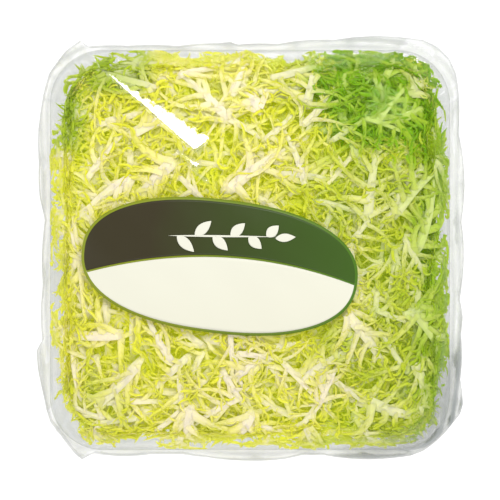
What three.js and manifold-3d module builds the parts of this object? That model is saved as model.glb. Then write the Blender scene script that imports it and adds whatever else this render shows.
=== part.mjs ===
// A clear square tray of curly endive, wrapped in clear film.
// Millimetres, +Z up. The origin is the middle of the flat underside that the pack rests on.
// +Y is the top edge of the pack as it is printed, and +X its right edge.
import * as THREE from "three";
import { mergeVertices } from "three/addons/utils/BufferGeometryUtils.js";
import Module from "manifold-3d";

const wasm = await Module();
wasm.setup();

// Driving dimensions of the tray.
const tray = {
  floorHalf: 89, // half the width of the flat floor, to its rounded foot
  floorZ: 1, // underside of the floor
  panelHalf: 66, // the raised middle panel of the floor
  panelRise: 2,
  ledgeHalf: 98, // the stacking ledge round the wall
  ledgeZ: 31.2,
  rimHalf: 104.5, // inner edge of the flange
  flangeHalf: 112, // outer edge of the flange
  height: 50, // top of the flange
  lipDrop: 3, // the flange's turned-down lip
  wall: 0.9,
  corner: 22, // corner radius at the floor
  cornerGrowth: 0.35, // extra corner radius for each millimetre outside the floor
};

// Driving dimensions of the film. Its thickness stands in for real film of about 0.04 mm.
const film = {
  thickness: 0.6,
  baseHalf: 92.5, // the flat underside
  footHalf: 96.3, // where the underside has turned up
  footZ: 6.5,
  skirtShare: 0.55, // how far out the middle of the slack skirt stands, from foot to edge
  skirtZ: 27,
  skirtWave: 2,
  edgeZ: 45, // height of the slack outer edge
  edgeWave: 1.5,
  edgeWaves: 9, // waves round the edge
  rimHalf: 113, // where it turns over the flange
  rimZ: 53.2, // over the flange's inner edge
  rimDrop: 1.6, // how much lower it is over the flange's outer edge
  rimSlack: 0.9, // least distance from the rim out to the slack edge
  domeRise: 10.5, // how far the heap lifts it above the rim in the middle
  domePower: 3.2,
  rippleHeight: 0.7,
  ventRadius: 3,
  ventAt: [62, -62],
};
const DOME_RINGS = [98, 84, 68, 50, 32, 15]; // half widths of the rings that the dome is drawn through

// The outer edge of the film as it is seen from above, clockwise from its top left peak, in pixels of
// the reference picture. One pixel is PIXEL millimetres on the pack.
const PIXEL = 0.56;
const PICTURE_MIDDLE = [249.6, 249.9];
const FILM_EDGE = [
  [80, 40], [88, 47], [128, 46], [177, 46], [218, 43], [231, 42], [237, 45], [277, 44],
  [335, 39], [409, 38], [424, 40], [436, 46], [449, 58], [456, 73], [459, 133], [461, 221],
  [460, 299], [463, 317], [461, 334], [460, 380], [463, 404], [460, 414], [450, 426], [437, 440],
  [423, 451], [409, 456], [384, 459], [322, 454], [303, 454], [284, 459], [240, 461], [206, 457],
  [177, 452], [160, 451], [139, 455], [117, 456], [93, 453], [88, 456], [81, 460], [74, 454],
  [61, 435], [50, 421], [44, 398], [37, 365], [36, 350], [42, 340], [42, 284], [43, 235],
  [45, 219], [39, 196], [38, 162], [37, 132], [39, 115], [43, 93], [49, 73], [65, 51],
];

const GAP = 0.4; // free space between the endive and what holds it
const BLADE = 0.8; // thickness of a leaf blade
const SLIVER = 0.05; // detail finer than this is left out where leaves cross
const OVER_FLANGE = 109; // how far out sprays may lie over the flange

// Driving dimensions of the leaves: a rib that tapers to its tip, and narrow lobes on both sides of it.
const leaf = {
  ribRoot: 2.8, // half the rib's width at its root
  ribTip: 1,
  lobeFoot: 2.2, // half the lobe's width where it leaves the rib
  lobeWaist: 1.8,
  firstLobe: 0.2, // share of the rib below the first lobe
  lastLobe: 0.92,
  lobeFan: [1.25, 0.7], // how far the lobes turn from the rib, in radians, from root to tip
  lobeBend: 0.35,
  curl: 0.012, // sideways curvature of a rib, in radians for each millimetre
};

// How the leaves are laid: on top under the film, round the tray's wall, and under the head.
const topLay = { rootDrop: 19, rise: 20, step: 2.1, tipDrop: 4, cup: [-2, 1.5], width: 56 };
const sideLay = {
  length: 46, width: 40, rootZ: [7, 14], lean: 0.7, rootDepth: 12, rise: 16, depths: [3.2, 0.8],
};
const underLay = { length: 78, width: 44, start: 8, rootZ: 14, rise: 22, curl: 0.006, depths: [1.6, 0] };

// The dense heart of the head, set in from the room that the sprays fill.
const heart = { sideInset: 8, topInset: 13, shoulder: 6, bottomZ: 7 };

// The same pseudo-random numbers on each run.
function randomFrom(seed) {
  let state = seed;
  return () => {
    state = (state + 0x6d2b79f5) | 0;
    let t = Math.imul(state ^ (state >>> 15), 1 | state);
    t = (t + Math.imul(t ^ (t >>> 7), 61 | t)) ^ t;
    return ((t ^ (t >>> 14)) >>> 0) / 4294967296;
  };
}

const mix = (a, b, share) => a + (b - a) * share;
const smooth = (t) => {
  const u = Math.min(1, Math.max(0, t));
  return u * u * (3 - 2 * u);
};

// Solids and geometries.
function solidFrom(geometry, tolerance = 1e-4) {
  const bare = new THREE.BufferGeometry().setAttribute("position", geometry.getAttribute("position"));
  if (geometry.index) bare.setIndex(geometry.index);
  const merged = mergeVertices(bare, tolerance);
  return new wasm.Manifold(
    new wasm.Mesh({
      numProp: 3,
      vertProperties: merged.attributes.position.array,
      triVerts: new Uint32Array(merged.index.array),
    }),
  );
}

function geometryFrom(solid) {
  const mesh = solid.getMesh();
  const geometry = new THREE.BufferGeometry();
  geometry.setAttribute("position", new THREE.BufferAttribute(new Float32Array(mesh.vertProperties), 3));
  geometry.setIndex(new THREE.BufferAttribute(new Uint32Array(mesh.triVerts), 1));
  geometry.computeVertexNormals();
  return geometry;
}

// The main body of a joined solid, without slivers where surfaces cross and without loose scraps, also
// those that only part when points a micron apart become one.
function mainBody(solid) {
  const largest = (all) => all.reduce((best, piece) => (piece.volume() > best.volume() ? piece : best));
  const clean = largest(solid.decompose()).simplify(SLIVER);
  return largest(solidFrom(geometryFrom(clean), 1e-3).decompose());
}

// Stations round a square with rounded corners, counter-clockwise from the middle of its +X side.
function roundedSquare(half, radius, sideSteps, cornerSteps) {
  const points = [];
  const flat = half - radius;
  for (let quarter = 0; quarter < 4; quarter++) {
    const turn = (quarter * Math.PI) / 2;
    const put = (x, y) =>
      points.push([x * Math.cos(turn) - y * Math.sin(turn), x * Math.sin(turn) + y * Math.cos(turn)]);
    for (let i = 0; i < sideSteps; i++) put(half, (flat * i) / sideSteps);
    for (let i = 0; i < cornerSteps; i++) {
      const angle = (Math.PI / 2) * (i / cornerSteps);
      put(flat + radius * Math.cos(angle), flat + radius * Math.sin(angle));
    }
    for (let i = 0; i < sideSteps; i++) put(flat * (1 - i / sideSteps), half);
  }
  return points;
}

const cornerAt = (half) =>
  half < tray.floorHalf
    ? (tray.corner * half) / tray.floorHalf
    : tray.corner + tray.cornerGrowth * (half - tray.floorHalf);

function ringAt(half, z, steps) {
  return roundedSquare(half, cornerAt(half), ...steps).map(([x, y]) => [
    x, y, typeof z === "function" ? z(x, y) : z,
  ]);
}

// A closed skin through rings of stations, from a pole at its start to a pole at its end.
function loft(startPole, rings, endPole) {
  const count = rings[0].length;
  const positions = [startPole, ...rings.flat(), endPole].flat();
  const at = (ring, station) => 1 + ring * count + (station % count);
  const last = 1 + rings.length * count;
  const faces = [];
  for (let i = 0; i < count; i++) {
    faces.push(0, at(0, i + 1), at(0, i));
    faces.push(last, at(rings.length - 1, i), at(rings.length - 1, i + 1));
  }
  for (let r = 0; r + 1 < rings.length; r++)
    for (let i = 0; i < count; i++) {
      faces.push(at(r, i), at(r, i + 1), at(r + 1, i + 1));
      faces.push(at(r, i), at(r + 1, i + 1), at(r + 1, i));
    }
  const geometry = new THREE.BufferGeometry();
  geometry.setAttribute("position", new THREE.Float32BufferAttribute(positions, 3));
  geometry.setIndex(faces);
  return geometry;
}

// The tray: a thin pressed shell, its outside from the floor up to the lip and its inside back down.
function trayGeometry() {
  const steps = [1, 4];
  const { floorZ, wall, height } = tray;
  const panelZ = floorZ + tray.panelRise;
  const outside = [
    [tray.panelHalf - 2, panelZ],
    [tray.panelHalf + 2, floorZ],
    [tray.floorHalf - 4, floorZ],
    [tray.floorHalf, floorZ + 1.8],
    [tray.floorHalf + 2, floorZ + 6],
    [tray.ledgeHalf - 1.5, tray.ledgeZ - 1.2],
    [tray.ledgeHalf + 1.5, tray.ledgeZ + 1.3],
    [tray.rimHalf - 0.3, height - 1],
    [tray.flangeHalf - 1.5, height - 1],
    [tray.flangeHalf - 0.8, height - tray.lipDrop],
  ];
  const inside = [
    [tray.flangeHalf, height - tray.lipDrop],
    [tray.flangeHalf, height - 0.6],
    [tray.flangeHalf - 0.6, height],
    [tray.rimHalf + 0.7, height],
    [tray.rimHalf - 0.9, height - 1.2],
    [tray.ledgeHalf + 0.5, tray.ledgeZ + 2],
    [tray.ledgeHalf - 2.5, tray.ledgeZ - 0.6],
    [tray.floorHalf + 1.1, floorZ + 6.4],
    [tray.floorHalf - 0.7, floorZ + 2.6],
    [tray.floorHalf - 4.4, floorZ + wall],
    [tray.panelHalf + 2.6, floorZ + wall],
    [tray.panelHalf - 1.4, panelZ + wall],
  ];
  const rings = [...outside, ...inside].map(([half, z]) => ringAt(half, z, steps));
  return loft([0, 0, panelZ], rings, [0, 0, panelZ + wall]);
}

// Height of the film's outer face over the heap: a flat dome with slow ripples.
function filmTop(x, y) {
  const fall = (v) => 1 - Math.min(1, Math.abs(v) / film.rimHalf) ** film.domePower;
  const ripple =
    Math.sin(0.071 * x + 0.043 * y + 0.6) + Math.sin(0.052 * x - 0.083 * y + 2.1) + Math.sin(0.119 * y + 0.4);
  const lift = fall(x) * fall(y);
  return film.rimZ + film.domeRise * lift + (film.rippleHeight * ripple * Math.min(1, 3 * lift)) / 2;
}

// Distance from the middle to the film's slack edge, in the direction of (x, y).
const filmEdge = FILM_EDGE.map(([px, py]) => {
  const x = (px - PICTURE_MIDDLE[0]) * PIXEL;
  const y = (PICTURE_MIDDLE[1] - py) * PIXEL;
  return { angle: Math.atan2(y, x), reach: Math.hypot(x, y) };
}).sort((a, b) => a.angle - b.angle);

function edgeReach(angle) {
  const next = filmEdge.findIndex((p) => p.angle > angle);
  const b = filmEdge[next < 0 ? 0 : next];
  const a = filmEdge.at((next < 0 ? 0 : next) - 1);
  const span = (b.angle - a.angle + 2 * Math.PI) % (2 * Math.PI);
  const from = (angle - a.angle + 2 * Math.PI) % (2 * Math.PI);
  return mix(a.reach, b.reach, from / span);
}

// The film's skin, moved inwards by inset: flat underside, slack skirt, outer edge, and the domed top.
function filmSkin(inset) {
  const steps = [3, 4];
  const base = ringAt(film.baseHalf - inset, inset, steps);
  const foot = ringAt(film.footHalf - inset, film.footZ, steps);
  const rim = ringAt(film.rimHalf - inset, film.rimZ - film.rimDrop - inset, steps);
  const edge = rim.map(([x, y]) => {
    const angle = Math.atan2(y, x);
    const overRim = Math.hypot(x, y) / (1 - inset / film.rimHalf) + film.rimSlack;
    const reach = Math.max(edgeReach(angle), overRim) - inset;
    const z = film.edgeZ + film.edgeWave * Math.sin(film.edgeWaves * angle);
    return [reach * Math.cos(angle), reach * Math.sin(angle), z];
  });
  const skirt = edge.map(([x, y], i) => [
    mix(foot[i][0], x, film.skirtShare),
    mix(foot[i][1], y, film.skirtShare),
    film.skirtZ + film.skirtWave * Math.sin(i),
  ]);
  const top = [tray.flangeHalf - 2, ...DOME_RINGS].map((half) =>
    ringAt(half - inset, (x, y) => filmTop(x, y) - inset, steps),
  );
  return loft([0, 0, inset], [base, foot, skirt, edge, rim, ...top], [0, 0, filmTop(0, 0) - inset]);
}

// The film as a thin shell, with a vent hole in its underside.
function filmGeometry() {
  const vent = new THREE.CylinderGeometry(film.ventRadius, film.ventRadius, 4, 16);
  vent.rotateX(Math.PI / 2).translate(...film.ventAt, 0);
  const shell = solidFrom(filmSkin(0)).subtract(solidFrom(filmSkin(film.thickness)));
  return geometryFrom(shell.subtract(solidFrom(vent)));
}

// The room that the endive may fill: the tray's inside up its wall, then over the flange, then the dome.
const roomProfile = [
  [tray.panelHalf - 1.5, tray.floorZ + tray.panelRise + tray.wall],
  [tray.panelHalf + 2.5, tray.floorZ + tray.wall],
  [tray.floorHalf - 4.7, tray.floorZ + tray.wall],
  [tray.floorHalf - 1.2, tray.floorZ + 2.7],
  [tray.floorHalf + 0.6, tray.floorZ + 6.4],
  [tray.ledgeHalf - 3, tray.ledgeZ - 0.4],
  [tray.ledgeHalf, tray.ledgeZ + 2.2],
  [tray.rimHalf - 1.5, tray.height - 1.2],
  [tray.rimHalf, tray.height],
];
const floorAt = roomProfile[0][1] + GAP;
const roomTop = (x, y) => filmTop(x, y) - film.thickness - GAP;

function roomSolid() {
  const steps = [2, 4];
  const walls = roomProfile.map(([half, z]) => ringAt(half, z + GAP, steps));
  const over = ringAt(OVER_FLANGE, tray.height + GAP, steps);
  const top = [OVER_FLANGE, ...DOME_RINGS].map((half) => ringAt(half, roomTop, steps));
  return solidFrom(loft([0, 0, floorAt], [...walls, over, ...top], [0, 0, roomTop(0, 0)]));
}

// Half the inner width of the tray at a height.
function wallHalf(z) {
  const next = Math.max(1, roomProfile.findIndex((p, i) => i > 3 && p[1] >= z));
  if (z >= tray.height) return tray.rimHalf;
  const [[h0, z0], [h1, z1]] = [roomProfile[next - 1], roomProfile[next]];
  return mix(h0, h1, (z - z0) / (z1 - z0));
}

// The dense heart of the head, which the sprays stand out of.
function heartSolid() {
  const steps = [1, 3];
  const { sideInset, topInset, shoulder, bottomZ } = heart;
  const under = (drop) => (x, y) => roomTop(x, y) - topInset - drop;
  const rings = [
    ringAt(tray.floorHalf - sideInset - 14, bottomZ, steps),
    ringAt(tray.floorHalf - sideInset, bottomZ + 5, steps),
    ringAt(tray.ledgeHalf - 2 - sideInset, tray.ledgeZ - 4, steps),
    ringAt(tray.rimHalf - shoulder - sideInset, under(shoulder), steps),
    ringAt(78, under(1), steps),
    ringAt(46, under(0), steps),
  ];
  return solidFrom(loft([0, 0, bottomZ], rings, [0, 0, roomTop(0, 0) - topInset]));
}

// A leaf laid flat: a tapering rib along +X, cut to the rib into narrow lobes that lean forward.
function leafShape({ length, width, lobes, random }) {
  const ribHalf = (x) => mix(leaf.ribRoot, leaf.ribTip, x / length);
  const side = (sign, start) => {
    const points = [];
    for (let k = 0; k < lobes; k++) {
      const x = length * mix(leaf.firstLobe, leaf.lastLobe, (k + start) / lobes);
      const reach = (width / 2) * Math.sin(Math.PI * mix(0.2, 0.85, x / length)) * mix(0.85, 1.25, random());
      const lean = mix(...leaf.lobeFan, (k + random()) / lobes);
      const bend = leaf.lobeBend * mix(-1, 1, random());
      const at = (along, turn, across) => [
        x + along * Math.cos(turn) - across * Math.sin(turn),
        sign * (ribHalf(x) + along * Math.sin(turn) + across * Math.cos(turn)),
      ];
      points.push([x - leaf.lobeFoot, sign * ribHalf(x - leaf.lobeFoot)]);
      points.push(at(reach * 0.55, lean + bend * 0.4, leaf.lobeWaist));
      points.push(at(reach * 1.05, lean - bend * 0.3, 0));
      points.push(at(reach * 0.5, lean + bend * 0.4, -leaf.lobeWaist));
      points.push([x + leaf.lobeFoot, sign * ribHalf(x + leaf.lobeFoot)]);
    }
    return points;
  };
  const outline = [
    [0, -ribHalf(0)], ...side(-1, 0.7), [length, 0], ...side(1, 0.25).reverse(), [0, ribHalf(0)],
  ];
  return new THREE.Shape(outline.map(([x, y]) => new THREE.Vector2(x, y)));
}

// A solid leaf blade whose points are carried from the flat leaf by place(along, across, up).
function leafSolid(one, place) {
  const geometry = new THREE.ExtrudeGeometry(leafShape(one), { depth: BLADE, bevelEnabled: false });
  const position = geometry.getAttribute("position");
  for (let i = 0; i < position.count; i++)
    position.setXYZ(i, ...place(position.getX(i), position.getY(i), position.getZ(i)));
  return solidFrom(geometry);
}

// A point of a leaf that curves sideways as it runs from its root in a heading.
function curved(one, along, across) {
  const turn = one.curl * along;
  const ahead = Math.sin(turn) / one.curl - across * Math.sin(turn);
  const aside = (1 - Math.cos(turn)) / one.curl + across * Math.cos(turn);
  return [
    ahead * Math.cos(one.heading) - aside * Math.sin(one.heading),
    ahead * Math.sin(one.heading) + aside * Math.cos(one.heading),
  ];
}

// A leaf on top of the heap: its root comes up out of the heart, its blade arches under the film, and
// its tip dips again. Over the flange it stays clear of the tray.
function topLeaf(one) {
  return leafSolid(one, (along, across, up) => {
    const [dx, dy] = curved(one, along, across);
    const [x, y] = [one.root[0] + dx, one.root[1] + dy];
    const cup = one.cup * (across / (one.width / 2)) ** 2;
    const dip = topLay.tipDrop * smooth((along / one.length - 0.5) * 2);
    const lain = roomTop(x, y) - BLADE - one.depth - dip + cup;
    const outside = Math.max(Math.abs(x), Math.abs(y)) > tray.rimHalf - 3;
    const shown = outside ? Math.max(lain, tray.height + 2 * GAP) : lain;
    return [x, y, mix(roomTop(x, y) - topLay.rootDrop, shown, smooth(along / topLay.rise)) + up];
  });
}

// The point at a distance round a rounded square of that half width, from the middle of its +X side.
// The distance is measured at the tray's ledge, so that points at all depths keep the same place.
const wallRadius = cornerAt(tray.ledgeHalf);
const wallFlat = tray.ledgeHalf - wallRadius;
const wallQuarter = 2 * wallFlat + (Math.PI / 2) * wallRadius;

function perimeterPoint(distance, half) {
  const radius = cornerAt(half);
  const flat = half - radius;
  const turns = Math.floor(distance / wallQuarter + 0.5);
  const along = distance - turns * wallQuarter;
  const angle = Math.max(0, Math.abs(along) - wallFlat) / wallRadius;
  const x = flat + radius * Math.cos(angle);
  const y = angle > 0 ? Math.sign(along) * (flat + radius * Math.sin(angle)) : (along * flat) / wallFlat;
  const turn = (turns * Math.PI) / 2;
  return [x * Math.cos(turn) - y * Math.sin(turn), x * Math.sin(turn) + y * Math.cos(turn)];
}

// A leaf against the tray's wall: it climbs from its root low in the heart.
function sideLeaf(one) {
  return leafSolid(one, (along, across, up) => {
    const [aside, climb] = curved(one, along, across);
    const z = one.rootZ + climb;
    const inward = mix(sideLay.rootDepth, one.depth, smooth(along / sideLay.rise)) + BLADE - up;
    return [...perimeterPoint(one.rootAlong + aside, wallHalf(z) - inward), z];
  });
}

// A leaf under the head, spread over the tray's floor from the root stub.
function underLeaf(one) {
  return leafSolid(one, (along, across, up) => {
    const [x, y] = curved(one, along + underLay.start, across);
    return [x, y, mix(underLay.rootZ, floorAt + GAP + one.depth, smooth(along / underLay.rise)) + up];
  });
}

// Leaves that lie on top, each from its root to its tip, in pixels of the reference picture.
const YELLOW_TOP = [
  [[175, 92], [74, 82]], [[112, 150], [170, 100]], [[150, 170], [75, 200]], [[212, 208], [262, 150]],
  [[240, 136], [200, 80]], [[268, 130], [245, 66]], [[300, 124], [322, 62]], [[255, 180], [320, 165]],
  [[110, 235], [62, 275]], [[140, 330], [64, 345]], [[150, 345], [110, 410]], [[200, 388], [176, 440]],
  [[258, 395], [236, 448]], [[287, 396], [335, 340]], [[330, 300], [385, 345]], [[352, 392], [405, 424]],
  [[280, 240], [190, 260]], [[210, 300], [270, 330]], [[300, 250], [352, 300]], [[190, 150], [135, 190]],
  [[205, 232], [140, 214]], [[120, 300], [190, 318]], [[285, 345], [235, 372]],
];
const GREEN_RIGHT = [
  [[384, 232], [420, 166]], [[365, 240], [368, 166]], [[372, 130], [440, 110]], [[366, 140], [396, 72]],
  [[404, 270], [446, 205]], [[400, 296], [446, 345]], [[404, 342], [438, 396]], [[398, 110], [440, 66]],
  [[384, 322], [440, 300]],
];
const GREEN_TOP_LEFT = [[[150, 74], [78, 58]], [[100, 70], [160, 60]]];

const millimetres = ([px, py]) => [(px - PICTURE_MIDDLE[0]) * PIXEL, (PICTURE_MIDDLE[1] - py) * PIXEL];
const someCurl = (most, random) => most * (random() < 0.5 ? -1 : 1) * mix(0.1, 1, random());

function topLeaves(places, seed) {
  const random = randomFrom(seed);
  return places.map(([rootPixel, tipPixel], i) => {
    const [root, tip] = [millimetres(rootPixel), millimetres(tipPixel)];
    const length = Math.hypot(tip[0] - root[0], tip[1] - root[1]) * 1.15;
    return topLeaf({
      root, length, random,
      heading: Math.atan2(tip[1] - root[1], tip[0] - root[0]),
      width: Math.min(topLay.width, length),
      lobes: length > 46 ? 4 : 3,
      curl: someCurl(leaf.curl, random),
      depth: 0.6 + topLay.step * (i % 4),
      cup: mix(...topLay.cup, random()),
    });
  });
}

// Leaves round the tray's wall, evenly spaced, with a seeded tilt.
function sideLeaves(count, seed) {
  const random = randomFrom(seed);
  return Array.from({ length: count }, (_, i) =>
    sideLeaf({
      rootAlong: (4 * wallQuarter * i) / count,
      rootZ: mix(...sideLay.rootZ, random()),
      heading: Math.PI / 2 + sideLay.lean * mix(-1, 1, random()),
      length: sideLay.length, width: sideLay.width, lobes: 3, random,
      curl: someCurl(leaf.curl, random),
      depth: sideLay.depths[i % 2],
    }),
  );
}

function underLeaves(count, seed) {
  const random = randomFrom(seed);
  return Array.from({ length: count }, (_, i) =>
    underLeaf({
      heading: (2 * Math.PI * i) / count + mix(-0.15, 0.15, random()),
      length: underLay.length, width: underLay.width, lobes: 4, random,
      curl: someCurl(underLay.curl, random),
      depth: underLay.depths[i % 2],
    }),
  );
}

// Upright blocks that part the green sprays from the yellow, as outlines seen from above.
const RIGHT_REGION = [
  [44, 130], [42, 62], [55, 22], [58, -7], [74, -31], [72, -84], [130, -112], [130, 130],
];
const TOP_LEFT_REGION = [[-130, 130], [-130, 84], [-92, 88], [-60, 92], [-44, 104], [-44, 130]];
const REGION_HEIGHT = 90;

function regionSolid(outline, shift = [0, 0]) {
  const shape = new THREE.Shape(outline.map(([x, y]) => new THREE.Vector2(x + shift[0], y + shift[1])));
  return solidFrom(new THREE.ExtrudeGeometry(shape, { depth: REGION_HEIGHT, bevelEnabled: false }));
}

// The cut stub that the leaves grow from: a short cone with a rounded edge, standing on the tray's floor.
const stub = { radius: 15, topRadius: 9, height: 13, cutEdge: 1.5, shoulder: 8, sides: 24 };

function stubGeometry(grow) {
  const profile = [
    [0, -grow],
    [stub.radius - stub.cutEdge + grow, -grow],
    [stub.radius + grow, stub.cutEdge],
    [stub.radius - 2 + grow, stub.shoulder],
    [stub.topRadius + grow, stub.height + grow],
    [0, stub.height + grow],
  ];
  const points = profile.map(([radius, z]) => new THREE.Vector2(radius, z));
  return new THREE.LatheGeometry(points, stub.sides).rotateX(Math.PI / 2).translate(0, 0, floorAt);
}

// The endive, one solid for each colour that holds together, cut GAP apart.
const room = roomSolid();
const heartOfHead = heartSolid();
const byTheWall = sideLeaves(12, 6);
const join = (solids) => solids.reduce((whole, solid) => whole.add(solid)).intersect(room);

const yellow = mainBody(
  join([heartOfHead, ...topLeaves(YELLOW_TOP, 11), ...byTheWall, ...underLeaves(9, 8)])
    .subtract(regionSolid(RIGHT_REGION, [-GAP, 0]))
    .subtract(regionSolid(TOP_LEFT_REGION, [0, -GAP]))
    .subtract(solidFrom(stubGeometry(GAP))),
);
const greenRight = mainBody(
  join([heartOfHead, ...topLeaves(GREEN_RIGHT, 23), ...byTheWall]).intersect(regionSolid(RIGHT_REGION)),
);
const greenTopLeft = mainBody(
  join([heartOfHead, ...topLeaves(GREEN_TOP_LEFT, 31), ...byTheWall]).intersect(regionSolid(TOP_LEFT_REGION)),
);

// Finishes.
const finish = (color, more) => new THREE.MeshStandardMaterial({ color, flatShading: true, ...more });
const clearFilm = finish(0xf4f6f4, { roughness: 0.08, metalness: 0, transparent: true, opacity: 0.16 });
const clearTray = finish(0xeef2f1, { roughness: 0.12, metalness: 0, transparent: true, opacity: 0.22 });
const yellowLeaf = finish(0xdbe255, { roughness: 0.5, metalness: 0 });
const greenLeaf = finish(0x8fc22b, { roughness: 0.5, metalness: 0 });
const stubFlesh = finish(0xefe9cf, { roughness: 0.6, metalness: 0 });

const pack = new THREE.Group();
function put(name, geometry, material) {
  const mesh = new THREE.Mesh(geometry, material);
  mesh.name = name;
  pack.add(mesh);
}
put("film_wrap", filmGeometry(), clearFilm);
put("tray", trayGeometry(), clearTray);
put("yellow_leaves", geometryFrom(yellow), yellowLeaf);
put("green_leaves_right", geometryFrom(greenRight), greenLeaf);
put("green_leaves_top_left", geometryFrom(greenTopLeft), greenLeaf);
put("root_stub", stubGeometry(0), stubFlesh);

export default pack;
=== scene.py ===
import math

import bpy
import numpy as np
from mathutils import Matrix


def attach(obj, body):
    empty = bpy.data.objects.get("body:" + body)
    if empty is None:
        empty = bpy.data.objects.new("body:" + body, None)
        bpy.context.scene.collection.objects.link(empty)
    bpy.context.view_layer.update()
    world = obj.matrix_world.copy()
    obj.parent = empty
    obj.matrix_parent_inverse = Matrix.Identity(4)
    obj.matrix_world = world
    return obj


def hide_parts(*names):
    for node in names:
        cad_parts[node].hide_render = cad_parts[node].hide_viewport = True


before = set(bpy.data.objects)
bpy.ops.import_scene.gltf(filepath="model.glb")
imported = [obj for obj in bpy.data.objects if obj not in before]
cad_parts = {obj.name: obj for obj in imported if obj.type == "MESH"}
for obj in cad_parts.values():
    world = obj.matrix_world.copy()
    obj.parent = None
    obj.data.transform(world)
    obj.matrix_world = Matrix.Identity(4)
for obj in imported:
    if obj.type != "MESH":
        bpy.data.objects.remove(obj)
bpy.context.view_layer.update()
mm = 0.001
print("frame loaded:", sorted(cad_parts))


# Numbers and curves.

def blend(a, b, share):
    # a where the share is 0, b where it is 1, straight between
    return a + (b - a) * share


def smooth(t):
    # a soft step from 0 to 1
    t = np.clip(t, 0.0, 1.0)
    return t * t * (3 - 2 * t)


def unit(v):
    # vectors scaled to length 1
    return v / np.maximum(np.linalg.norm(v, axis=-1, keepdims=True), 1e-12)


def turned(x, y, angle):
    # a point turned about the middle
    return x * np.cos(angle) - y * np.sin(angle), x * np.sin(angle) + y * np.cos(angle)


def squareNorm(x, y):
    # half width of the rounded square through (x, y): the eighth root of the sum of eighth powers
    return (np.abs(x) ** 8.0 + np.abs(y) ** 8.0) ** (1 / 8.0)


def throughRings(keys, counts):
    # rings between key rings along a Catmull-Rom curve, counts[i] of them from key i to the next
    keys = np.asarray(keys)
    padded = np.concatenate([keys[:1], keys, keys[-1:]])
    rows = []
    for i, count in enumerate(counts):
        t = (np.arange(count) / count)[:, None, None]
        a, b, c, d = padded[i:i + 4]
        rows.append(
            0.5 * (2 * b + (c - a) * t + (2 * a - 5 * b + 4 * c - d) * t**2 + (3 * b - a - 3 * c + d) * t**3)
        )
    rows.append(keys[-1:])
    return np.concatenate(rows)


# Meshes from arrays.

def fillMesh(name, points, faceGroups, smoothShading=True):
    # a mesh from points and from arrays of faces, each with one number of corners
    mesh = bpy.data.meshes.new(name)
    corners = np.concatenate([group.ravel() for group in faceGroups]).astype(np.int32)
    sizes = np.concatenate([np.full(len(group), group.shape[1]) for group in faceGroups])
    mesh.vertices.add(len(points))
    mesh.vertices.foreach_set("co", points.astype(np.float32).ravel())
    mesh.loops.add(len(corners))
    mesh.loops.foreach_set("vertex_index", corners)
    mesh.polygons.add(len(sizes))
    mesh.polygons.foreach_set("loop_start", (np.cumsum(sizes) - sizes).astype(np.int32))
    mesh.update(calc_edges=True)
    mesh.validate()
    mesh.polygons.foreach_set("use_smooth", np.full(len(mesh.polygons), smoothShading))
    return mesh


def addAttribute(mesh, name, values):
    # one number for each point
    layer = mesh.attributes.new(name, "FLOAT", "POINT")
    layer.data.foreach_set("value", values.astype(np.float32))


def addPiece(name, mesh, material, slot, standsFor=None):
    # an object on the pack's one body; standsFor is the CAD node that it replaces
    piece = bpy.data.objects.new(name, mesh)
    bpy.context.scene.collection.objects.link(piece)
    mesh.materials.append(material)
    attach(piece, "root")
    if standsFor:
        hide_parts(standsFor)
    print(name, len(mesh.loops) - 2 * len(mesh.polygons), "triangles")


def gridFaces(rows, columns, closed=True):
    # quads between neighbouring rows of a grid, round each row where it is closed
    row = np.arange(rows - 1)[:, None]
    column = np.arange(columns if closed else columns - 1)[None, :]
    here = row * columns + column
    beside = row * columns + (column + 1) % columns
    return np.stack([here, beside, beside + columns, here + columns], axis=-1).reshape(-1, 4)


def fanFaces(pole, ring, outward):
    # triangles from a pole to a ring of points
    beside = np.roll(ring, -1)
    order = (ring, beside) if outward else (beside, ring)
    return np.stack([np.full(len(ring), pole), *order], axis=-1)


def closedLoft(name, rings, poleHeights, material, slot, standsFor):
    # a closed skin through rings of points, each counter-clockwise seen from above, from pole to pole
    count, around, _ = rings.shape
    points = np.concatenate([rings.reshape(-1, 3), [[0, 0, z] for z in poleHeights]])
    first = np.arange(around)
    last = first + (count - 1) * around
    pole = count * around
    faces = [gridFaces(count, around), fanFaces(pole, first, False), fanFaces(pole + 1, last, True)]
    mesh = fillMesh(name, points * mm, faces)
    addPiece(name, mesh, material, slot, standsFor)
    return mesh


# Shader maths as Python expressions.

def mathsNode(operation, swapped=False):
    # a method of a signal that adds a Math node on it and another signal or number
    def method(signal, other):
        pair = (other, signal) if swapped else (signal, other)
        return signal.board.add("ShaderNodeMath", {"operation": operation}, {0: pair[0], 1: pair[1]})

    return method


class Signal:
    # one socket of a node tree, with the operators that the materials use
    def __init__(self, board, socket):
        self.board = board
        self.socket = socket

    __add__ = __radd__ = mathsNode("ADD")
    __sub__ = mathsNode("SUBTRACT")
    __rsub__ = mathsNode("SUBTRACT", swapped=True)
    __mul__ = __rmul__ = mathsNode("MULTIPLY")
    __pow__ = mathsNode("POWER")
    least = mathsNode("MINIMUM")

    def clamped(self):
        return self.board.add("ShaderNodeClamp", {}, {"Value": self})


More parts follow.
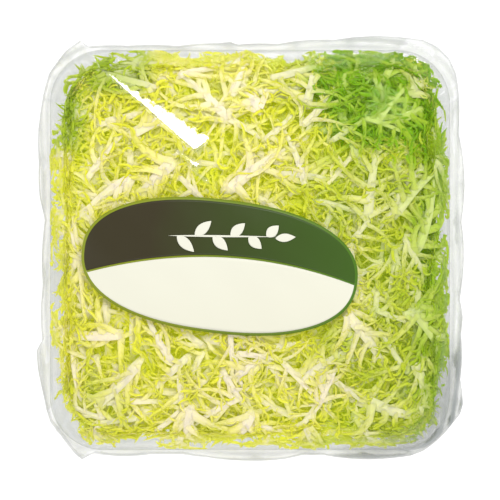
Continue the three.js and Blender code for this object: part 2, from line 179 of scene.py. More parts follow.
class Board:
    # a material's node tree
    def __init__(self, name):
        self.material = bpy.data.materials.new(name)
        self.material.use_nodes = True
        self.tree = self.material.node_tree
        self.tree.nodes.clear()

    def put(self, kind, settings=None, inputs=None):
        # a node whose sockets hold values or are linked to signals
        node = self.tree.nodes.new(kind)
        for key, value in (settings or {}).items():
            if key == "stops":
                self.setStops(node.color_ramp, value)
            else:
                setattr(node, key, value)
        for key, value in (inputs or {}).items():
            if isinstance(value, Signal):
                self.tree.links.new(value.socket, node.inputs[key])
            else:
                node.inputs[key].default_value = value
        return node

    def add(self, kind, settings=None, inputs=None, output=0):
        return Signal(self, self.put(kind, settings, inputs).outputs[output])

    def setStops(self, ramp, stops):
        while len(ramp.elements) < len(stops):
            ramp.elements.new(1.0)
        for element, (place, color) in zip(ramp.elements, stops):
            element.position = place
            element.color = (*color, 1.0)

    def ramp(self, share, *stops):
        return self.add("ShaderNodeValToRGB", {"stops": stops}, {"Fac": share})

    def attribute(self, name):
        return self.add("ShaderNodeAttribute", {"attribute_name": name}, output="Fac")

    def objectPlace(self):
        return self.add("ShaderNodeTexCoord", output="Object")

    def noise(self, scale, detail=3.0, roughness=0.55):
        inputs = {"Vector": self.objectPlace(), "Scale": scale, "Detail": detail, "Roughness": roughness}
        return self.add("ShaderNodeTexNoise", {}, inputs)

    def colors(self, first, second, share):
        # two colours, or signals of colour, mixed by a share
        pair = [color if isinstance(color, Signal) else (*color, 1.0) for color in (first, second)]
        return self.add("ShaderNodeMix", {"data_type": "RGBA"}, {0: share, 6: pair[0], 7: pair[1]}, output=2)

    def bump(self, height, strength, distance):
        return self.add("ShaderNodeBump", {}, {"Height": height, "Strength": strength, "Distance": distance})

    def finish(self, shader):
        self.put("ShaderNodeOutputMaterial", {}, {"Surface": shader})
        return self.material

    def surface(self, values):
        # the material with one principled shader
        return self.finish(self.add("ShaderNodeBsdfPrincipled", {}, values))


# The film over the heap, the tray and the room between them, in millimetres as in the frame.

pixel = 0.56  # millimetres on the pack for one pixel of the reference picture
pictureMiddle = (249.6, 249.9)

tray = {
    "floorHalf": 89.0, "floorZ": 1.0, "panelHalf": 66.0, "panelRise": 2.0, "ledgeHalf": 98.0, "ledgeZ": 31.2,
    "rimHalf": 104.5, "flangeHalf": 112.0, "height": 50.0, "lipDrop": 3.0, "wall": 0.9,
    "corner": 22.0, "cornerGrowth": 0.35,
    "straightShare": 0.62,  # of the points round the tray, those on its straight sides
    "beadHeight": 0.7,  # the raised bead along the flange
    "fluteDepth": 0.35, "flutes": 18,  # shallow flutes of the wall, for each side
    "poleHalf": 12.0, "stations": 320,
}
film = {
    "baseHalf": 92.5, "footHalf": 96.3, "footZ": 6.5, "skirtShare": 0.55, "skirtZ": 27.0, "skirtWave": 2.0,
    "skirtWaves": 14, "edgeZ": 45.0, "edgeWave": 1.5, "edgeWaves": 9,
    "rimHalf": 113.0, "rimZ": 53.2, "rimDrop": 1.6, "rimSlack": 0.9, "shoulderHalf": 110.0,
    "domeRise": 10.5, "domePower": 3.2, "rippleHeight": 0.7, "thickness": 0.6, "clearance": 0.4,
    "pleats": (13, 1.1, 1.6), "finePleats": (37, 0.5, 0.8),  # how many, their height on top and at the side
    "outlineShade": 3.0, "bottomRightShade": 2.4,  # how much heavier the veil of haze and painted grey shade is along the outline and towards the bottom right
    "stations": 520, "rings": (5, 12, 14, 8, 3), "baseRings": 9, "domeRings": 98,
}
filmEdge = [  # the slack outer edge seen from above, in pixels, clockwise from its top left peak
    (80, 40), (88, 47), (128, 46), (177, 46), (218, 43), (231, 42), (237, 45), (277, 44),
    (335, 39), (409, 38), (424, 40), (436, 46), (449, 58), (456, 73), (459, 133), (461, 221),
    (460, 299), (463, 317), (461, 334), (460, 380), (463, 404), (460, 414), (450, 426), (437, 440),
    (423, 451), (409, 456), (384, 459), (322, 454), (303, 454), (284, 459), (240, 461), (206, 457),
    (177, 452), (160, 451), (139, 455), (117, 456), (93, 453), (88, 456), (81, 460), (74, 454),
    (61, 435), (50, 421), (44, 398), (37, 365), (36, 350), (42, 340), (42, 284), (43, 235),
    (45, 219), (39, 196), (38, 162), (37, 132), (39, 115), (43, 93), (49, 73), (65, 51),
]


def fromPixels(places):
    # millimetres from pixels of the reference picture
    return (np.asarray(places, float) - pictureMiddle) * (pixel, -pixel)


def cornerAt(half):
    # corner radius: in proportion up to the floor's edge, then growing slowly
    inside = tray["corner"] * half / tray["floorHalf"]
    outside = tray["corner"] + tray["cornerGrowth"] * (half - tray["floorHalf"])
    return np.where(half < tray["floorHalf"], inside, outside)


def squareRing(half, height, stations):
    # points round a square with rounded corners, evenly by turn of a parameter, from the middle of +X,
    # at one height or at a height worked out from x and y
    turn = np.arange(stations) / stations * 4
    quarter = np.floor(turn + 0.5)
    along = (turn - quarter) * 2
    radius = float(cornerAt(half))
    flat = half - radius
    share = tray["straightShare"]
    straight = np.clip(np.abs(along) / share, 0, 1) * flat
    bend = np.clip((np.abs(along) - share) / (1 - share), 0, 1) * math.pi / 4
    x = np.where(np.abs(along) > share, flat + radius * np.cos(bend), half)
    y = np.sign(along) * (straight + radius * np.sin(bend))
    x, y = turned(x, y, quarter * math.pi / 2)
    return np.stack([x, y, height(x, y) if callable(height) else np.full(stations, height)], axis=-1)


def filmTop(x, y):
    # a flat dome that falls off with a power of the distance on each axis, with three slow ripples
    fallX, fallY = (1 - np.minimum(1, np.abs(v) / film["rimHalf"]) ** film["domePower"] for v in (x, y))
    lift = fallX * fallY
    ripple = np.sin(0.071 * x + 0.043 * y + 0.6) + np.sin(0.052 * x - 0.083 * y + 2.1)
    ripple = film["rippleHeight"] * (ripple + np.sin(0.119 * y + 0.4))
    return film["rimZ"] + film["domeRise"] * lift + ripple * np.minimum(1, 3 * lift) / 2


def roomTop(x, y):
    # the underside of the film, less a little air
    return filmTop(x, y) - film["thickness"] - film["clearance"]


roomProfile = np.array([
    [tray["floorHalf"] - 1.2, tray["floorZ"] + 2.7],
    [tray["floorHalf"] + 0.6, tray["floorZ"] + 6.4],
    [tray["ledgeHalf"] - 3, tray["ledgeZ"] - 0.4],
    [tray["ledgeHalf"], tray["ledgeZ"] + 2.2],
    [tray["rimHalf"] - 1.5, tray["height"] - 1.2],
    [tray["rimHalf"], tray["height"]],
])


def wallHalf(z):
    # half the inner width of the tray at a height
    return np.interp(z, roomProfile[:, 1], roomProfile[:, 0])


wallRadius = float(cornerAt(tray["ledgeHalf"]))
wallFlat = tray["ledgeHalf"] - wallRadius
wallQuarter = 2 * wallFlat + math.pi / 2 * wallRadius


def perimeterPoint(distance, half):
    # the point at a distance round a rounded square of that half width, measured at the tray's ledge
    radius = cornerAt(half)
    flat = half - radius
    turns = np.floor(distance / wallQuarter + 0.5)
    along = distance - turns * wallQuarter
    angle = np.maximum(0, np.abs(along) - wallFlat) / wallRadius
    x = flat + radius * np.cos(angle)
    y = np.where(angle > 0, np.sign(along) * (flat + radius * np.sin(angle)), along * flat / wallFlat)
    return turned(x, y, turns * math.pi / 2)


# Finishes.

leafColors = {
    "rib": (0.86, 0.77, 0.50), "blade": (0.84, 0.77, 0.22), "tip": (0.73, 0.725, 0.04),
    "greenRib": (0.47, 0.62, 0.11), "greenBlade": (0.33, 0.50, 0.02), "greenTip": (0.16, 0.36, 0.001),
    "shade": (0.22, 0.25, 0.04), "deepShadeYellow": (0.57, 0.63, 0.0), "deepShadeGreen": (0.15, 0.33, 0.0),
    "none": (0.0, 0.0, 0.0),
}
clearLooks = {
    "hazeAndShadeColor": (0.26, 0.28, 0.275, 1.0), "grazing": 0.9, "hazeAndShadeVeil": 0.13,  # the veil's grey, which is partly haze and partly painted shade, and how thick it gets
    "glint": 36.0, "mostShine": 0.3,  # how much stronger the folds reflect, boosting a real reflection into a painted highlight, and the most that anything does
}


def leafMaterial():
    # pale ribs to coloured tips, from yellow to green, darkened with painted shade where a leaf lies deep,
    # and given a painted glow of that shade colour where it lies deep high in the heap
    board = Board("curlyLeaf")
    tone, shift, green, depth, paintedLight = (
        board.attribute(name) for name in ("leafTone", "leafShift", "leafGreen", "leafDepth", "leafGlow")
    )
    fine = board.noise(420.0, 2.0)
    broad = board.noise(70.0, 3.0)
    toned = (tone + (fine - 0.5) * 0.35 + (shift - 0.5) * 0.25).clamped()
    c = leafColors
    yellow = board.ramp(toned, (0.2, c["rib"]), (0.6, c["blade"]), (1.0, c["tip"]))
    leafy = board.ramp(toned, (0.1, c["greenRib"]), (0.5, c["greenBlade"]), (1.0, c["greenTip"]))
    greenness = (green + (broad - 0.5) * 0.5).clamped()
    face = board.colors(yellow, leafy, greenness)
    # painted shade: the darker colours that leaves lying deep are turned to
    deepShade = board.colors(c["deepShadeYellow"], c["deepShadeGreen"], greenness)
    base = board.colors(face, deepShade, (depth * 1.1 - 0.05 + (broad - 0.5) * 0.3).clamped() * 0.95)
    return board.surface({
        "Base Color": base, "Roughness": (broad * 0.3 + 0.3).clamped(),
        "Normal": board.bump(board.noise(900.0, 3.0), 0.25, 0.0004), "Specular IOR Level": 0.18,
        "Subsurface Weight": 0.4, "Subsurface Radius": (0.9, 1.0, 0.3), "Subsurface Scale": 0.002,
        # painted glow: emission in the painted-shade colour, standing in for light passed down through the
        # leaves
        "Emission Color": board.colors(c["none"], deepShade, (paintedLight * 1.3).clamped()), "Emission Strength": 0.3,
    })


def heartMaterial():
    # the painted-shade leaf colours, mottled with blade colour above and fading to a darker painted shade
    # below, with a painted glow higher up
    board = Board("leafHeart")
    c = leafColors
    paintedLight = board.attribute("leafGlow")
    broad = board.noise(120.0, 5.0, 0.7)
    greenness = (board.attribute("leafGreen") + (broad - 0.5) * 0.5).clamped()
    deepShade = board.colors(c["deepShadeYellow"], c["deepShadeGreen"], greenness)
    mottled = board.colors(deepShade, c["blade"], (broad - 0.45).clamped() * 1.6)
    return board.surface({
        # painted shade: the shade colour where the painted light share is low, towards the bottom
        "Base Color": board.colors(c["shade"], mottled, (paintedLight + (broad - 0.35) * 1.2).clamped()),
        "Roughness": (broad * 0.3 + 0.4).clamped(),
        "Normal": board.bump(board.noise(260.0, 4.0), 0.8, 0.003),
        # painted glow: emission in the painted-shade colour, growing with height
        "Emission Color": board.colors(c["none"], deepShade, paintedLight), "Emission Strength": 0.25,
    })


def clearMaterial(name, tint, veil, roughness, shineShare):
    # clear plastic: see-through face on, with a veil of grey gloss that thickens where it is slack or seen
    # edge on, partly haze and partly painted shade, and a shine of its own on top, boosted on the folds into
    # a painted highlight
    board = Board(name)
    looks = clearLooks
    slack = board.attribute("slack")
    edge = board.add("ShaderNodeLayerWeight", {}, {"Blend": 0.35}, output="Facing")
    haze = board.noise(55.0, 4.0)
    # share of the grey veil: painted shade edge on, and haze with painted shade where the mask is high
    share = edge ** 6.0 * looks["grazing"] + slack * (haze * 0.6 + 0.7) * looks["hazeAndShadeVeil"] + veil
    gloss = board.add("ShaderNodeBsdfPrincipled", {}, {
        "Base Color": looks["hazeAndShadeColor"], "Roughness": roughness, "Specular IOR Level": 0.5, "IOR": 1.5,
    })
    through = board.add("ShaderNodeBsdfTransparent", {}, {"Color": (*tint, 1.0)})
    body = board.add("ShaderNodeMixShader", {}, {0: share.clamped(), 1: through, 2: gloss})
    shine = board.add("ShaderNodeBsdfGlossy", {}, {"Color": (1, 1, 1, 1), "Roughness": roughness})
    fresnel = board.add("ShaderNodeFresnel", {}, {"IOR": 1.45})
    # the glint mask boosts the real reflection on the folds' slopes into a painted highlight
    strength = fresnel * shineShare * (board.attribute("glint") * looks["glint"] + 1.0)
    shiny = board.add("ShaderNodeMixShader", {}, {0: strength.least(looks["mostShine"]), 1: body, 2: shine})
    return board.finish(shiny)


def inkMaterial(name, color, second, axis):
    # print seen through gloss, running softly from one colour to the other along an axis
    board = Board(name)
    place = board.add("ShaderNodeSeparateXYZ", {}, {"Vector": board.objectPlace()}, output=axis)
    share = (place * 9.0 + 0.5 + (board.noise(30.0) - 0.5) * 0.2).clamped()
    return board.surface({
        "Base Color": board.colors(color, second, share),
        "Roughness": (board.noise(200.0) * 0.15 + 0.3).clamped(), "Specular IOR Level": 0.25,
    })


def stubMaterial():
    # pale flesh with brown stains
    board = Board("stubFlesh")
    broad = board.noise(160.0, 5.0, 0.65)
    return board.surface({
        "Base Color": board.colors((0.86, 0.80, 0.58), (0.52, 0.36, 0.17), ((broad - 0.5) * 3.0).clamped()),
        "Roughness": (broad * 0.3 + 0.45).clamped(),
        "Normal": board.bump(board.noise(500.0, 4.0), 0.5, 0.001),
    })


leafFinish = leafMaterial()
heartFinish = heartMaterial()
filmFinish = clearMaterial("clearFilm", (0.995, 0.995, 0.995), veil=0.003, roughness=0.04, shineShare=0.16)
trayFinish = clearMaterial("clearTray", (0.99, 0.993, 0.992), veil=0.02, roughness=0.08, shineShare=0.25)
print("finishes made")


# Leaves: a flat pale rib, branches that leave it on both sides, and fine curled lobes on each branch.

draw = np.random.default_rng(7)
leafForm = {
    "ribHalf": (2.6, 0.6),  # half the rib's width at its root and tip
    "branchTurn": (1.15, 0.5),  # how far branches turn from the rib, root and tip, in radians
    "branchTaper": (1.6, 0.5), "branchFade": (1.25, 0.8), "branchPlace": (0.14, 0.97),
    "branchHalf": 1.05, "lobeHalf": 0.68, "lobeSwell": (1.0, 1.05, 0.95, 0.75, 0.4),
    "ribWave": 1.2, "branchWave": 0.5,
    # from here on, pairs are the limits of seeded draws
    "branchReach": (0.75, 1.7), "branchAskew": (-0.45, 0.45), "branchBend": (-1.9, 1.1),
    "branchRise": (-2.2, 2.6), "branchBulk": (0.75, 1.25), "branchTone": (0.5, 1.2),
    "lobeTurn": (0.4, 1.15), "lobeBend": (-3.4, 1.8), "lobeLength": (3.22, 8.625),
    "lobeBulk": (0.7, 1.35), "lobeCurl": (-2.4, 3.0),  # the curl is how far lobe tips stand off the leaf
    "rolls": ((-0.35, 0.35), (-0.5, 0.5), (-1.1, 1.1)), "ridges": (0.22, 0.2, 0.3),  # rib, branch and lobe
    "ribPoints": 14, "branchPoints": 7,
}


class Strips:
    # ribbons with centre lines along flat leaves and a height off them, one leaf for each first index
    def __init__(self, along, across, lift, half, ridge, roll, tone):
        points = along.shape[-1]
        self.along, self.across, self.lift, self.half = (
            v.reshape(-1, points) for v in (along, across, lift, half)
        )
        self.ridge = self.half * ridge
        self.roll = roll.ravel()
        self.tone = np.clip(np.broadcast_to(tone, along.shape), 0, 1).reshape(-1, points)
        self.leaf = np.repeat(np.arange(len(along)), len(self.along) // len(along))


def walk(start, heading, turns, length, points):
    # a path of equal steps in a plane whose heading changes by turns over its whole length
    share = (np.arange(points - 1) + 0.5) / (points - 1)
    angle = heading[..., None] + turns[..., None] * share
    step = (length / (points - 1))[..., None]
    path = []
    for first, direction in zip(start, (np.cos(angle), np.sin(angle))):
        first = first[..., None]
        path.append(np.concatenate([first, first + np.cumsum(direction * step, -1)], -1))
    return path


def growLeaves(leaves):
    # the strips of many leaves at once: ribs, the branches on them and the lobes on those
    form = leafForm
    count, branches, lobes = len(leaves["length"]), leaves["branches"], leaves["lobes"]
    bulk = leaves["bulk"]

    def within(limits, *shape):
        return draw.uniform(*limits, (count, *shape))

    # ribs, straight along the leaf, with a slow rise and fall of their own
    share = np.linspace(0, 1, form["ribPoints"])
    along = leaves["length"][:, None] * share
    ribWave = within((-1, 1), 1) * np.sin(share * 7 + within((0, 6), 1)) * form["ribWave"] * share
    half = blend(*form["ribHalf"], share**1.5) * bulk[:, None] * blend(0.1, 1, smooth(share / 0.28))
    roll = within(form["rolls"][0])
    ribs = Strips(along, np.zeros(along.shape), ribWave, half, form["ridges"][0], roll, 0.28 * share**2)

    # branches, alternating sides, fanned from root to tip
    index = np.arange(branches)
    place = blend(*form["branchPlace"], (index + within((0.1, 0.9), branches)) / branches)
    side = np.where(index % 2 == 0, 1.0, -1.0)
    spread = np.sin(math.pi * blend(0.16, 0.9, place)) ** 0.8
    length = leaves["width"][:, None] / 2 * spread * within(form["branchReach"], branches)
    heading = side * (blend(*form["branchTurn"], place) + within(form["branchAskew"], branches))
    turns = side * within(form["branchBend"], branches)
    start = (leaves["length"][:, None] * place, np.zeros(place.shape))
    n = form["branchPoints"]
    along, across = walk(start, heading, turns, length, n)
    ribLift = [np.interp(at, share, wave) for at, wave in zip(place, ribWave)]
    share = np.linspace(0, 1, n)
    rise = within(form["branchRise"], branches, 1) * share**1.6
    wave = form["branchWave"] * np.sin(share * 9 + within((0, 6), branches, 1)) * share
    lift = np.stack(ribLift)[..., None] + rise + wave
    half = form["branchHalf"] * bulk[:, None, None] * within(form["branchBulk"], branches, 1)
    half = half * blend(*form["branchTaper"], share**0.8) * blend(*form["branchFade"], place[..., None])
    tone = 0.25 + 0.6 * share * within(form["branchTone"], branches, 1) + 0.25 * place[..., None]
    roll = within(form["rolls"][1], branches)
    branchStrips = Strips(along, across, lift, half, form["ridges"][1], roll, tone)

    # lobes, alternating along each branch, one at its tip, curled off the leaf
    each = (branches, lobes)
    order = np.arange(lobes)
    spot = np.clip(blend(0.12, 1.0, (order + within((0.2, 1.0), *each)) / lobes), 0, 0.985) * (n - 1)
    before = np.minimum(spot.astype(int), n - 2)

    def onBranch(values):
        # values at the points of a branch, read at the spots of its lobes
        low = np.take_along_axis(values, before, -1)
        return blend(low, np.take_along_axis(values, before + 1, -1), spot - before)

    lobeSide = np.where((order + index[:, None]) % 2 == 0, 1.0, -1.0)
    start = (onBranch(along), onBranch(across))
    branchHeading = onBranch(heading[..., None] + turns[..., None] * share)
    heading = branchHeading + lobeSide * within(form["lobeTurn"], *each)
    turns = lobeSide * within(form["lobeBend"], *each)
    length = within(form["lobeLength"], *each) * np.sqrt(bulk)[:, None, None]
    length = length * blend(0.75, 1.1, spread[..., None])
    swell = np.array(form["lobeSwell"])
    along, across = walk(start, heading, turns, length, len(swell))
    share = np.linspace(0, 1, len(swell))
    lift = onBranch(lift)[..., None] + within(form["lobeCurl"], *each, 1) * share**2
    half = form["lobeHalf"] * leaves["lobeBulk"][:, None, None, None] * swell
    half = half * within(form["lobeBulk"], *each, 1)
    tone = onBranch(tone)[..., None] + 0.15 + 0.5 * share
    roll = within(form["rolls"][2], *each)
    return [ribs, branchStrips, Strips(along, across, lift, half, form["ridges"][2], roll, tone)]


def stripMesh(strips, place, leaves):
    # closed three-sided strips: both edges and a crest, to a point at the tip, with place giving the
    # spot and the leaf's up direction for along, across, lift and leaf index
    spot, up = place(leaves, strips.along, strips.across, strips.lift, strips.leaf[:, None])
    ahead = unit(np.gradient(spot, axis=1))
    aside = unit(np.cross(ahead, up))
    crest = np.cross(aside, ahead)
    roll = strips.roll[:, None, None]
    sideways = (aside * np.cos(roll) + crest * np.sin(roll)) * strips.half[..., None]
    upwards = (crest * np.cos(roll) - aside * np.sin(roll)) * strips.ridge[..., None]
    rings = np.stack([spot - sideways, spot + sideways, spot + upwards], 2)
    count, n = strips.along.shape
    points = np.concatenate([rings[:, :-1].reshape(count, -1, 3), spot[:, -1:]], 1)
    each = points.shape[1]
    ring = np.arange(n - 2) * 3
    edges = ((0, 2), (2, 1), (1, 0))
    quads = np.concatenate([np.stack([ring + a, ring + b, ring + 3 + b, ring + 3 + a], -1) for a, b in edges])
    end, tip = (n - 2) * 3, each - 1
    caps = np.array([[0, 1, 2], [end, end + 2, tip], [end + 2, end + 1, tip], [end + 1, end, tip]])
    first = (np.arange(count) * each)[:, None, None]
    tone = np.concatenate([np.repeat(strips.tone[:, :-1], 3, axis=1), strips.tone[:, -1:]], 1)
    return (
        points.reshape(-1, 3), (quads + first).reshape(-1, 4), (caps + first).reshape(-1, 3), tone.ravel(),
        np.repeat(strips.leaf, each),
    )


greens = {"right": 0.45, "edge": 0.35, "patch": 0.95, "corner": 0.65, "strip": 0.7, "foot": 0.25}
depths = {"heapHalf": 100, "wallTop": 44, "floor": 5, "full": 16, "paintedLightFrom": 22, "paintedLightRun": 20}
leafKinds = {  # material slot and CAD node
    "yellow": ("yellow_leaf", "yellow_leaves"), "green": ("green_leaf", "green_leaves_right"),
    "corner": ("green_leaf", "green_leaves_top_left"),
}


def greenAt(points, shift):
    # how green a leaf is: most along the right side and at the top left, shifted a little leaf by leaf
    x, y = points[:, 0], points[:, 1]
    loose = shift - 0.5

    def beyond(distance, start, run):
        return smooth((distance - start) / run)

    def oval(middle, size, full):
        return smooth(full - np.hypot((x - middle[0]) / size[0], (y - middle[1]) / size[1]) + loose)

    right = greens["right"] * beyond(x + 0.12 * y + 44 * loose, 12, 62)
    edge = greens["edge"] * beyond(x + 16 * loose, 84, 18)
    patch = greens["patch"] * oval((72, 88), (26, 24), 1.5)
    corner = greens["corner"] * beyond(y + 14 * loose, 88, 10) * beyond(-x, 48, 14)
    strip = greens["strip"] * beyond(8 * loose - x, 90, 8) * beyond(y, 48, 16)
    foot = greens["foot"] * oval((-90, -88), (20, 22), 1.4)
    return np.clip(np.maximum(np.maximum(right + edge + patch, foot), np.maximum(corner, strip)), 0, 1)


def depthAt(points):
    # how far a point is from the nearest of film, wall and floor, from 0 to 1
    x, y, z = points.T
    half, wallTop = depths["heapHalf"], depths["wallTop"]
    top = roomTop(np.clip(x, -half, half), np.clip(y, -half, half)) - z
    side = np.where(z > wallTop, top, wallHalf(np.minimum(z, wallTop)) - squareNorm(x, y))
    return np.clip(np.minimum(top, np.minimum(side, z - depths["floor"])) / depths["full"], 0, 1)


def paintedLightAt(points):
    # share of painted light: a painted glow standing in for light passed down from leaf to leaf, gone in the
    # lower half, where the heart takes painted shade instead
    return smooth((points[:, 2] - depths["paintedLightFrom"]) / depths["paintedLightRun"])


def leafPiece(name, leaves, place, kind):
    # all strips of a set of leaves in one mesh, with what the finish reads
    parts = [stripMesh(strips, place, leaves) for strips in growLeaves(leaves)]
    points, tone, leaf = (np.concatenate([part[i] for part in parts]) for i in (0, 3, 4))
    starts = np.cumsum([0] + [len(part[0]) for part in parts])
    faces = [np.concatenate([part[i] + start for part, start in zip(parts, starts)]) for i in (1, 2)]
    mesh = fillMesh(name, points * mm, faces, smoothShading=False)
    shift = leaves["shift"][leaf]
    depth = depthAt(points)
    addAttribute(mesh, "leafTone", tone)
    addAttribute(mesh, "leafShift", shift)
    addAttribute(mesh, "leafGreen", greenAt(points, shift))
    addAttribute(mesh, "leafDepth", depth)
    addAttribute(mesh, "leafGlow", depth * paintedLightAt(points))
    addPiece(name, mesh, leafFinish, *leafKinds[kind])


# Where the leaves lie.

lay = {
    "rootDrop": 12.0, "rise": 14.0, "tipDrop": 3.5, "foot": 22.0,  # under the film
    "limits": (101.0, 106.0), "overFlange": (106.0, 111.3), "furthest": (98.0, 111.3), "pressFrom": 0.94,
    "overFlangeShares": (0.8, 0.5, 0.25, 0.35),  # of the leaves at +X, +Y, -X and -Y
    "rideFrom": 86.0, "rideRun": 13.0, "flangeClear": 51.4, "rimClear": 50.4,  # over the tray's flange
    "sideRootDepth": 11.0, "sideRise": 16.0, "sideZ": (4.2, 53.0), "brimZ": 49.5, "brimHalf": 104.0,
    "underRootZ": 13.0, "underRise": 22.0, "floorAt": 4.6, "stubReach": 9.0,
    "filmGap": 0.7, "wallGap": 1.2, "heapHalf": 103.0, "rootHalf": 96.0,
    "curl": 0.012, "wave": 0.8, "largestWidth": 48.0, "rimwards": 82.0, "rimwardShare": 0.65,
}


def softened(reach, limit):
    # a reach pressed together as it nears its limit, so that nothing lies past it
    start = limit * lay["pressFrom"]
    room = limit - start
    return np.where(reach > start, start + room * (1 - np.exp(-(reach - start) / room)), reach)


def curved(leaves, along, across, leaf):
    # a point of a leaf whose rib bends with an even curve from its root, on its heading
    curl = leaves["curl"][leaf]
    turn = curl * along
    ahead = np.sin(turn) / curl - across * np.sin(turn)
    aside = (1 - np.cos(turn)) / curl + across * np.cos(turn)
    x, y = turned(ahead, aside, leaves["heading"][leaf])
    return leaves["root"][leaf, 0] + x, leaves["root"][leaf, 1] + y


def onTop(leaves, along, across, lift, leaf):
    # under the film: up out of the heart near the root, then along the dome, dipping at the tip
    x, y = curved(leaves, along, across, leaf)
    share = along / leaves["length"][leaf]
    cup = leaves["cup"][leaf] * (across / (leaves["width"][leaf] / 2)) ** 2
    drop = leaves["depth"][leaf] + lay["tipDrop"] * smooth((share - 0.5) * 2) - cup
    drop = drop + leaves["wave"][leaf] * np.sin(share * 6 + leaves["shift"][leaf] * 9)
    top = roomTop(x, y)
    lowest = leaves["depth"][leaf] + lay["rootDrop"]
    z = top - blend(lowest, drop, smooth(along / lay["rise"])) + lift
    z = np.minimum(z, top - 0.9)
    reach = squareNorm(x, y)
    ride = smooth((reach - lay["rideFrom"]) / lay["rideRun"])
    z = np.maximum(z, blend(lay["foot"], lay["flangeClear"], ride))
    free = np.clip(leaves["limit"][leaf] + 2.0 * lift - 1.5, *lay["furthest"])
    limit = np.where(z > lay["rimClear"], free, wallHalf(z) - lay["wallGap"])
    inwards = softened(reach, limit) / np.maximum(reach, 1)
    x, y = x * inwards, y * inwards
    return np.stack([x, y, np.minimum(z, roomTop(x, y) - lay["filmGap"])], -1), np.array([0, 0, 1.0])


def onWall(leaves, along, across, lift, leaf):
    # against the tray's wall: up from a root in the heart, at a small distance from the wall
    sideways, z = curved(leaves, along, across, leaf)
    lowest, highest = lay["sideZ"]
    z = np.clip(z, lowest + 0.1 * along % 1.0, highest)
    depth = blend(lay["sideRootDepth"], leaves["depth"][leaf], smooth(along / lay["sideRise"]))
    half = np.where(z > lay["brimZ"], lay["brimHalf"], wallHalf(z)) - np.maximum(depth - lift * 0.8, 0.5)
    x, y = perimeterPoint(sideways, half)
    z = np.minimum(z, roomTop(x, y) - lay["filmGap"])
    return np.stack([x, y, z], -1), unit(np.stack([x**7, y**7, np.zeros_like(x)], -1))


def onFloor(leaves, along, across, lift, leaf):
    # over the tray's floor, spread from the stub, and up a little at the foot of the wall
    x, y = curved(leaves, along + lay["stubReach"], across, leaf)
    z = blend(lay["underRootZ"], lay["floorAt"] + leaves["depth"][leaf], smooth(along / lay["underRise"]))
    reach = squareNorm(x, y)
    z = z + np.abs(lift) * 0.7 + 3.5 * smooth((reach - 80) / 8)
    inwards = softened(reach, wallHalf(z) - 1.5) / np.maximum(reach, 1)
    return np.stack([x * inwards, y * inwards, z], -1), np.array([0, 0, -1.0])


def overShare(root):
    # the share of leaves that may lie over the flange, by the side of the tray nearest to the root
    side = np.round(np.arctan2(root[:, 1], root[:, 0]) / (math.pi / 2)).astype(int) % 4
    return np.array(lay["overFlangeShares"])[side]


def leafSet(root, heading, length, width, depth, bulk, branches, lobes, lobeBulk, curl=lay["curl"]):
    # one dictionary of arrays for a set of leaves, with seeded spreads; depth is a pair of limits
    count = len(root)
    depth = draw.uniform(*depth, count)
    sign = np.where(draw.random(count) < 0.5, -1.0, 1.0)

    def spread(value, share):
        return value * draw.uniform(1 - share, 1 + share, count)

    return {
        "root": root, "heading": heading, "length": spread(length, 0.12), "width": spread(width, 0.15),
        "depth": depth, "bulk": spread(bulk, 0.15), "branches": branches, "lobes": lobes,
        "lobeBulk": spread(lobeBulk, 0.2), "curl": sign * curl * draw.uniform(0.15, 1.0, count),
        "cup": draw.uniform(-2.0, 1.5, count), "wave": draw.uniform(-lay["wave"], lay["wave"], count),
        "shift": draw.random(count),
        "limit": np.where(
            draw.random(count) < overShare(root),
            draw.uniform(*lay["overFlange"], count), draw.uniform(*lay["limits"], count),
        ),
    }


# The large leaves that lie on top, each from its root to its tip, in pixels of the reference picture.
yellowTop = [
    ((175, 92), (74, 82)), ((112, 150), (170, 100)), ((150, 170), (75, 200)), ((212, 208), (262, 150)),
    ((240, 136), (200, 80)), ((268, 130), (245, 66)), ((300, 124), (322, 62)), ((255, 180), (320, 165)),
    ((110, 235), (62, 275)), ((140, 330), (64, 345)), ((150, 345), (110, 410)), ((200, 388), (176, 440)),
    ((258, 395), (236, 448)), ((287, 396), (335, 340)), ((330, 300), (385, 345)), ((352, 392), (405, 424)),
    ((280, 240), (190, 260)), ((210, 300), (270, 330)), ((300, 250), (352, 300)), ((190, 150), (135, 190)),
    ((205, 232), (140, 214)), ((120, 300), (190, 318)), ((285, 345), (235, 372)),
]
greenRight = [
    ((384, 232), (420, 166)), ((365, 240), (368, 166)), ((372, 130), (440, 110)), ((366, 140), (396, 72)),
    ((404, 270), (446, 205)), ((400, 296), (446, 345)), ((404, 342), (438, 396)), ((398, 110), (440, 66)),
    ((384, 322), (440, 300)),
]
greenTopLeft = [((150, 74), (78, 58)), ((100, 70), (160, 60))]
overFlange = [
    ((88, 162), (50, 148)), ((86, 212), (46, 208)), ((84, 238), (47, 228)), ((86, 322), (50, 336)),
    ((130, 86), (138, 46)), ((226, 86), (246, 45)), ((350, 90), (366, 50)), ((374, 96), (404, 46)),
    ((402, 86), (428, 52)), ((418, 152), (456, 172)), ((420, 248), (457, 262)), ((416, 326), (455, 346)),
    ((300, 408), (312, 450)), ((352, 410), (374, 448)), ((190, 410), (174, 448)), ((110, 408), (92, 440)),
]


def largePiece(name, kind, pairs, bulk, branches, lobes, lobeBulk, limit=None):
    # leaves somewhat longer than the line from root to tip, because they bend; limit is how far all reach
    ends = fromPixels(pairs)
    run = ends[:, 1] - ends[:, 0]
    length = np.hypot(run[:, 0], run[:, 1]) * 1.25 + 6
    width = np.minimum(lay["largestWidth"], length * 0.85)
    heading = np.arctan2(run[:, 1], run[:, 0])
    leaves = leafSet(ends[:, 0], heading, length, width, (0.6, 2.2), bulk, branches, lobes, lobeBulk)
    if limit:
        leaves["limit"][:] = limit
    leafPiece(name, leaves, onTop, kind)


